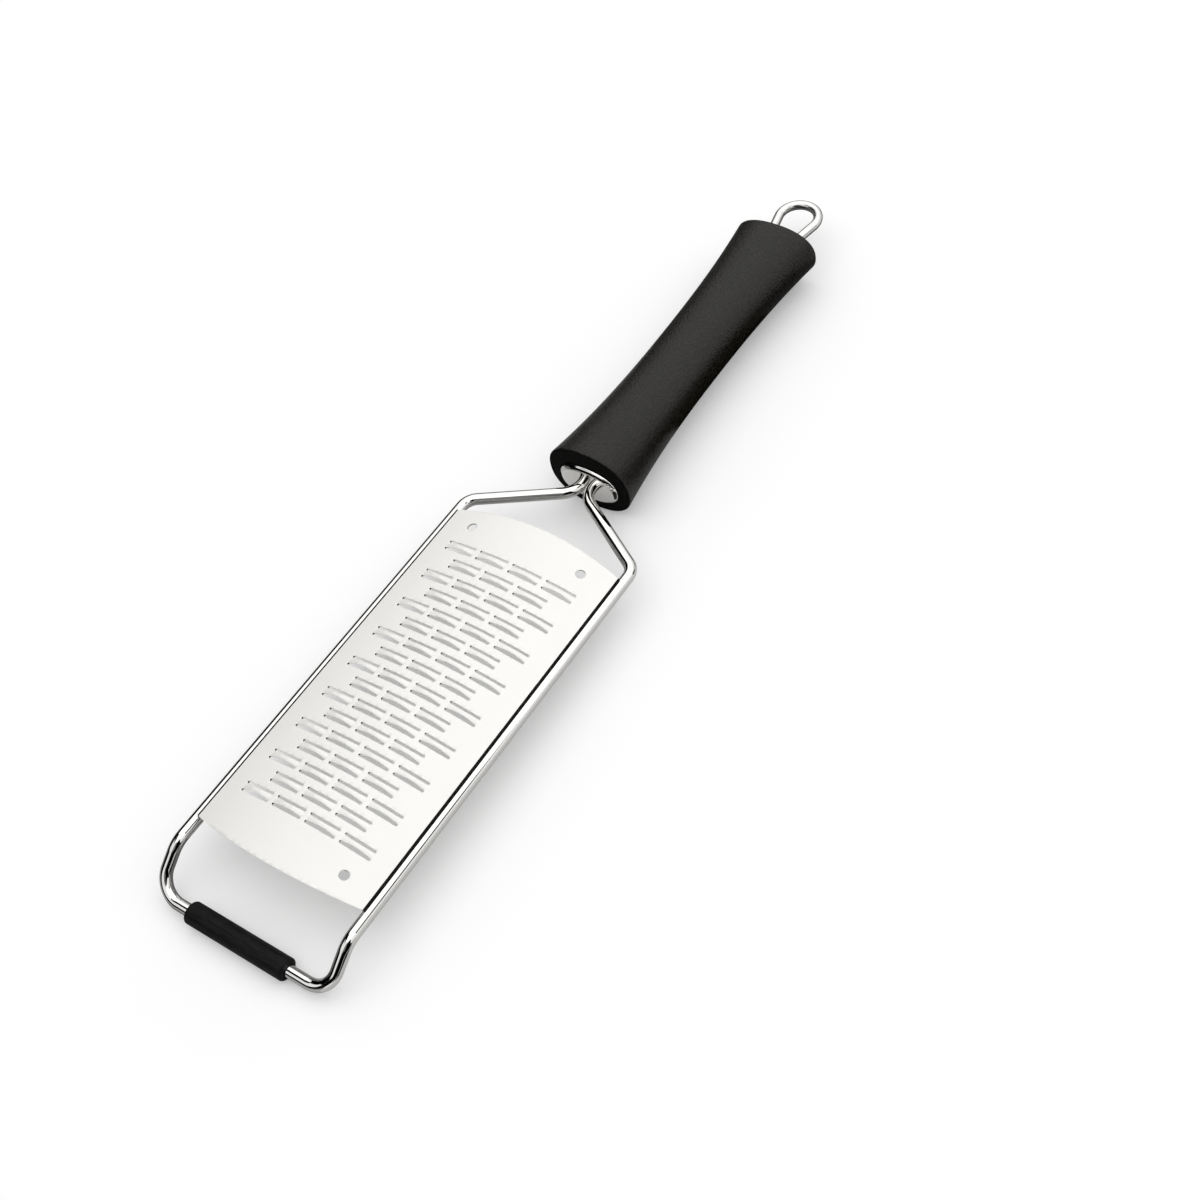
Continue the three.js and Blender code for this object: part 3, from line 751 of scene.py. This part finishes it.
leg_end = GRIP_LENGTH + LOOP_LEG
to_centre = math.hypot(LOOP_LEG_HALF, LOOP_REACH - LOOP_LEG)
lean = math.asin(LOOP_RADIUS / to_centre) - math.atan2(LOOP_LEG_HALF, LOOP_REACH - LOOP_LEG)
top = GRIP_LENGTH + LOOP_REACH + LOOP_RADIUS
right_leg = [
    (LOOP_LEG_HALF, GRIP_LENGTH - LOOP_HOLD, 0),
    (LOOP_LEG_HALF, leg_end, 0),
    (LOOP_LEG_HALF + math.tan(lean) * (top - leg_end), top, 0),
]
left_leg = [(-x, y, z) for x, y, z in reversed(right_leg)]
loop_path = bent_path(right_leg + left_leg, [LOOP_LEG_BEND, LOOP_RADIUS, LOOP_RADIUS, LOOP_LEG_BEND])
loop = skin("wire_loop", laid(on_handle(tube(loop_path, WIRE_RADIUS, WIRE_SIDES))))
loop_steel = polished_steel("polished_wire_steel", LOOP_STEEL, roughness=0.25)
dress(loop, loop_steel, "polished_wire", "hanging_loop")

# Studio: a white floor under one broad soft lamp, and cards out of the picture, which give the polished steel
# its dark lines: black ones standing round it and beside the grip, a tall grey one in front, black strips
# overhead, and grey and black ones lying flat.
FLOOR_HALF = 3.0  # the studio's lengths are in metres
FLOOR_WHITE = "#fdfdfd"
FLOOR_GLOW = 0.2
FLOOR_FADE = 0.8, 1.8  # how far from the middle the floor turns white
BLACK_CARD = "#050505"
BLACK_RADIUS = 1.1
BLACK_TOPS = {  # elevation of the upper edge by the direction round from +X, both in degrees
    0: 6, 20: 4, 60: 3, 115: 3, 140: 18, 155: 30, 170: 38, 185: 45, 205: 44,
    225: 22, 250: 16, 265: 16, 280: 22, 292: 27, 300: 27, 306: 60, 332: 60, 340: 12,
}
GREY_CARD = "#7e7e7e"
GREY_RADIUS = 1.15
GREY_TOPS = {0: 0, 262: 0, 278: 44, 285: 58, 320: 58, 340: 20, 350: 0}
RING_SIDES = 144
RING_LOWEST = 0.001  # height where the elevation is nothing
FLAT_CARDS = {  # colour, span of X, span of Y and height
    "far_card": ("#666666", (-1.05, 0.03), (-1.05, 1.05), 0.0004),
    "near_card": ("#b5b5b5", (-0.07, 0.03), (-0.19, 0.1), 0.0008),
    "right_card": ("#cdcdcd", (0.03, 0.12), (-0.19, 0.04), 0.0008),
    "neck_card": ("#dedede", (-0.026, 0.011), (0.006, 0.018), 0.0012),
    "branch_card": ("#2a2a2a", (0.011, 0.032), (-0.002, 0.016), 0.0012),
    "left_leg_card": ("#767676", (-0.034, -0.012), (-0.172, -0.146), 0.0012),
    "right_leg_card": (BLACK_CARD, (0.06, 0.25), (-0.3, -0.162), 0.0012),
    "grip_card": (BLACK_CARD, (0.0, 0.03), (0.06, 0.12), 0.0012),
}
SIDE_CARD_X = 0.022, 0.16
SIDE_CARD_Y = 0.035, 0.147
SIDE_CARD_LOW, SIDE_CARD_TOP = 0.001, 0.07
SIDE_CARD_SLANT = 0.5
LEFT_STRIP = (192, 238), (44, 60)  # degrees round from +X, and of elevation
RIGHT_STRIP = (4, 24), (40, 57)
STRIP_STEPS = 13
LAMP_AT = Vector((0.05, 0.3, 1.3))
LAMP_SIZE = 2.6
LAMP_POWER = 13.0
WORLD_LIGHT = 0.72
PLAIN_WHITE = (1, 1, 1, 1)


def level_sheet(name, x_span, y_span, z):
    """A flat sheet that lies level, over a span of X and a span of Y."""
    corners = np.array([[(x, y, z) for y in y_span] for x in x_span])
    return skin(name, corners, closed=(False, False), ends=False)


def side_card(name):
    """A card folded once along Y: it lies beside the grip, running back as it goes out, and its outer half
    stands."""
    inner, outer = SIDE_CARD_X
    fold = np.array([(inner, SIDE_CARD_LOW), (outer, SIDE_CARD_LOW), (outer, SIDE_CARD_TOP)])
    corners = np.stack([[(x, y + SIDE_CARD_SLANT * (x - inner), z) for y in SIDE_CARD_Y] for x, z in fold])
    return skin(name, corners, closed=(False, False), ends=False)


def card_ring(name, radius, tops):
    """Cards standing in a ring: at each direction from the floor to the height that the elevation gives
    there, with the elevations in between found by straight lines."""
    turn = np.linspace(0, 2 * np.pi, RING_SIDES, endpoint=False)
    lift = np.radians(np.interp(np.degrees(turn), list(tops), list(tops.values()), period=360))
    foot = np.stack([radius * np.cos(turn), radius * np.sin(turn), 0 * turn], axis=-1)
    head = foot + np.stack([0 * turn, 0 * turn, radius * np.tan(lift) + RING_LOWEST], axis=-1)
    return skin(name, np.stack([foot, head]), ends=False)


def hung_strip(name, span, lifts):
    """A narrow strip hung overhead, on a sphere of a metre round the grater's middle: level, between two
    directions."""
    turn, lift = np.meshgrid(np.radians(np.linspace(*span, STRIP_STEPS)), np.radians(lifts))
    towards = np.stack([np.cos(lift) * np.cos(turn), np.cos(lift) * np.sin(turn), np.sin(lift)], axis=-1)
    return skin(name, towards, closed=(False, False), ends=False)


def paper(name, colour):
    """Plain matte paper."""
    material, tree = finish_named(name)
    show(tree, add(tree, "ShaderNodeBsdfDiffuse", {"Color": linear(colour)}))
    return material


def only_in_reflections(card, colour):
    """Gives a card its paper and hides it from the camera, diffuse and transmission rays and shadows, so that
    only polished surfaces show it.
    """
    card.data.materials.append(paper(card.name + "_paper", colour))
    card.visible_camera = False
    card.visible_diffuse = False
    card.visible_transmission = False
    card.visible_shadow = False


def shown(tree):
    """One for rays from the camera, out of a mirror or through glass, and nothing for the rays that light
    things."""
    ray = add(tree, "ShaderNodeLightPath", {})
    seen = ray.outputs["Is Camera Ray"]
    for kind in ("Is Glossy Ray", "Is Transmission Ray"):
        seen = add(tree, "ShaderNodeMath", {0: seen, 1: ray.outputs[kind]}, operation="MAXIMUM").outputs[0]
    return seen


def glowing_paper(name, colour, share, fade):
    """Matte paper that is lit from behind as well, so that a share of what is seen of it is plain white. The
    share grows to the whole between two distances from the middle."""
    material, tree = finish_named(name)
    matte = add(tree, "ShaderNodeBsdfDiffuse", {"Color": linear(colour)})
    glow = add(tree, "ShaderNodeEmission", {"Color": PLAIN_WHITE, "Strength": 1.0})
    place = add(tree, "ShaderNodeTexCoord", {}).outputs["Object"]
    away = add(tree, "ShaderNodeVectorMath", {0: place}, operation="LENGTH").outputs["Value"]
    grown = {"Value": away, "From Min": fade[0], "From Max": fade[1], "To Min": share, "To Max": 1.0}
    white_share = add(tree, "ShaderNodeMapRange", grown).outputs["Result"]
    part = add(tree, "ShaderNodeMath", {0: shown(tree), 1: white_share}, operation="MULTIPLY")
    mixed = add(
        tree,
        "ShaderNodeMixShader",
        {0: part.outputs[0], 1: matte.outputs["BSDF"], 2: glow.outputs["Emission"]},
    )
    add(tree, "ShaderNodeOutputMaterial", {"Surface": mixed.outputs["Shader"]})
    return material


floor = level_sheet("floor", (-FLOOR_HALF, FLOOR_HALF), (-FLOOR_HALF, FLOOR_HALF), 0.0)
floor.data.materials.append(glowing_paper("white_paper", FLOOR_WHITE, FLOOR_GLOW, FLOOR_FADE))
only_in_reflections(card_ring("black_cards", BLACK_RADIUS, BLACK_TOPS), BLACK_CARD)
only_in_reflections(card_ring("grey_cards", GREY_RADIUS, GREY_TOPS), GREY_CARD)
for card_name, (card_colour, *card_place) in FLAT_CARDS.items():
    only_in_reflections(level_sheet(card_name, *card_place), card_colour)
only_in_reflections(hung_strip("strip_overhead", *LEFT_STRIP), BLACK_CARD)
only_in_reflections(hung_strip("right_strip", *RIGHT_STRIP), BLACK_CARD)
only_in_reflections(side_card("side_card"), BLACK_CARD)

# The lamp is a square that faces the middle of the grater. It shows in reflections, but not directly.
lamp = bpy.data.objects.new("overhead_lamp", bpy.data.lights.new("overhead_lamp", "AREA"))
lamp.data.size = LAMP_SIZE
lamp.data.energy = LAMP_POWER
lamp.location = LAMP_AT
lamp.rotation_mode = "QUATERNION"
lamp.rotation_quaternion = (-LAMP_AT).to_track_quat("-Z", "Y")
lamp.visible_camera = False
bpy.context.scene.collection.objects.link(lamp)

world = bpy.data.worlds.new("studio")
bpy.context.scene.world = world
world.use_nodes = True
tree = world.node_tree
tree.nodes.clear()
dim = add(tree, "ShaderNodeBackground", {"Color": PLAIN_WHITE, "Strength": WORLD_LIGHT})
white = add(tree, "ShaderNodeBackground", {"Color": PLAIN_WHITE, "Strength": 1.0})
sky = add(
    tree,
    "ShaderNodeMixShader",
    {0: shown(tree), 1: dim.outputs["Background"], 2: white.outputs["Background"]},
)
add(tree, "ShaderNodeOutputWorld", {"Surface": sky.outputs["Shader"]})
bpy.context.scene.view_settings.view_transform = "Standard"
